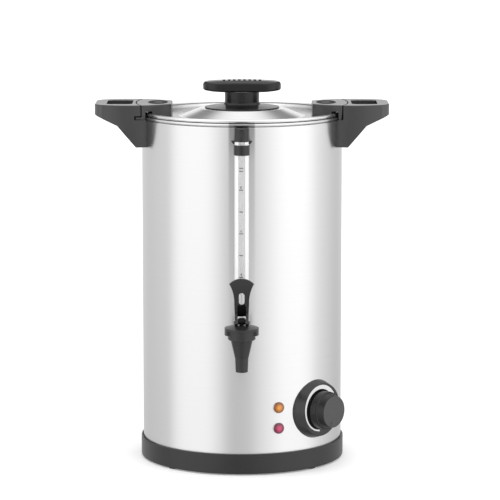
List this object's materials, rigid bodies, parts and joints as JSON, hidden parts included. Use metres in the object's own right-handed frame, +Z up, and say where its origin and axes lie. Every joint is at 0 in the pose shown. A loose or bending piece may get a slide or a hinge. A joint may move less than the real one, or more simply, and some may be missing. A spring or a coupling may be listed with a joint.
{
  "type": "hot water urn",
  "caption": "Countertop hot water urn: brushed steel tank with twist-lock lid, side handles, level gauge, lever tap, thermostat dial and pilot lamps.",
  "frame": {"origin": "on the tank's axis, in the plane that the feet stand on", "axes": "+Z up along the tank's axis; -Y to the front, where the tap is; +X to the right, where the thermostat is"},
  "size_m": [0.3364, 0.2941, 0.4399],
  "materials": {
    "brushed_steel": "fine circumferential brushing, satin",
    "bright_steel": "bright drawn steel",
    "hardware_steel": "plain steel fasteners",
    "black_plastic": "heat-resistant black moulding, fine matt texture",
    "tap_plastic": "black moulding, satin",
    "grey_face": "dark grey matt plastic",
    "white_plastic": "natural nylon",
    "clear_plastic": "clear polycarbonate",
    "gauge_glass": "borosilicate glass",
    "silicone": "translucent silicone rubber",
    "foot_rubber": "black rubber",
    "amber_lens": "translucent amber lens",
    "red_lens": "translucent red lens",
    "lamp_trim": "bright plated rim",
    "silver_scale": "satin silver print",
    "aluminium": "pressed aluminium",
    "element_sheath": "heat-darkened sheath",
    "brass": "plain brass"
  },
  "bodies": {
    "urn": {"tank_wall": "brushed_steel", "tank_floor": "brushed_steel", "heat_plate": "aluminium", "heating_element": "element_sheath", "dry_boil_cutout": "aluminium", "thermostat_capillary": "bright_steel", "base_ring": "black_plastic", "bottom_plate": "hardware_steel", "feet": "foot_rubber", "base_screws": "hardware_steel", "handle_left": "black_plastic", "handle_right": "black_plastic", "handle_screws": "hardware_steel", "handle_washers": "silicone", "gauge_cover": "clear_plastic", "gauge_tube": "gauge_glass", "gauge_collar": "tap_plastic", "gauge_seals": "silicone", "gauge_nut": "tap_plastic", "gauge_holder": "tap_plastic", "gauge_screw": "hardware_steel", "gauge_washer": "silicone", "tap_shank": "tap_plastic", "shank_washers": "silicone", "shank_nut": "tap_plastic", "tap_body": "tap_plastic", "tap_bonnet": "tap_plastic", "tap_spring": "bright_steel", "thermostat_bezel": "black_plastic", "dial_scale": "silver_scale", "thermostat_screws": "hardware_steel", "thermostat_body": "white_plastic", "pilot_lamp_amber": "amber_lens", "pilot_lamp_red": "red_lens", "lamp_bezels": "lamp_trim", "lamp_bodies": "white_plastic", "inlet_pad": "black_plastic", "mains_inlet": "tap_plastic", "inlet_screws": "hardware_steel", "terminal_block": "white_plastic", "earth_stud": "brass"},
    "lid": {"lid_cover": "bright_steel", "lid_ear_left": "black_plastic", "lid_ear_right": "black_plastic", "ear_screws": "hardware_steel", "lid_knob_stem": "black_plastic", "lid_knob_grip": "black_plastic", "knob_washer": "hardware_steel", "knob_screw": "hardware_steel"},
    "plunger": {"tap_stem": "tap_plastic", "seat_cup": "silicone", "lever_pin": "hardware_steel"},
    "lever": {"tap_lever": "tap_plastic"},
    "dial": {"thermostat_knob": "grey_face", "thermostat_shaft": "bright_steel"}
  },
  "joints": [
    {"name": "lid_turn", "type": "hinge", "parent": "urn", "child": "lid", "pos_m": [0, 0, 0.4003], "axis": [0, 0, 1], "range_deg": [0, 135]},
    {"name": "stem_lift", "type": "slide", "parent": "urn", "child": "plunger", "axis": [0, 0, 1], "range_m": [0, 0.00336], "stiffness_N_per_m": 250, "springref_m": -0.004, "deforming": ["tap_spring"]},
    {"name": "lever_tilt", "type": "hinge", "parent": "plunger", "child": "lever", "pos_m": [0, -0.154, 0.1838], "axis": [1, 0, 0], "range_deg": [0, 55]},
    {"name": "dial_turn", "type": "hinge", "parent": "urn", "child": "dial", "pos_m": [0.08411, -0.07843, 0.0694], "axis": [-0.7314, 0.682, 0], "range_deg": [-20, 250]}
  ],
  "couplings": [
    {"joint": "lever_tilt", "follows": "stem_lift", "rad_per_m": 285.71}
  ]
}
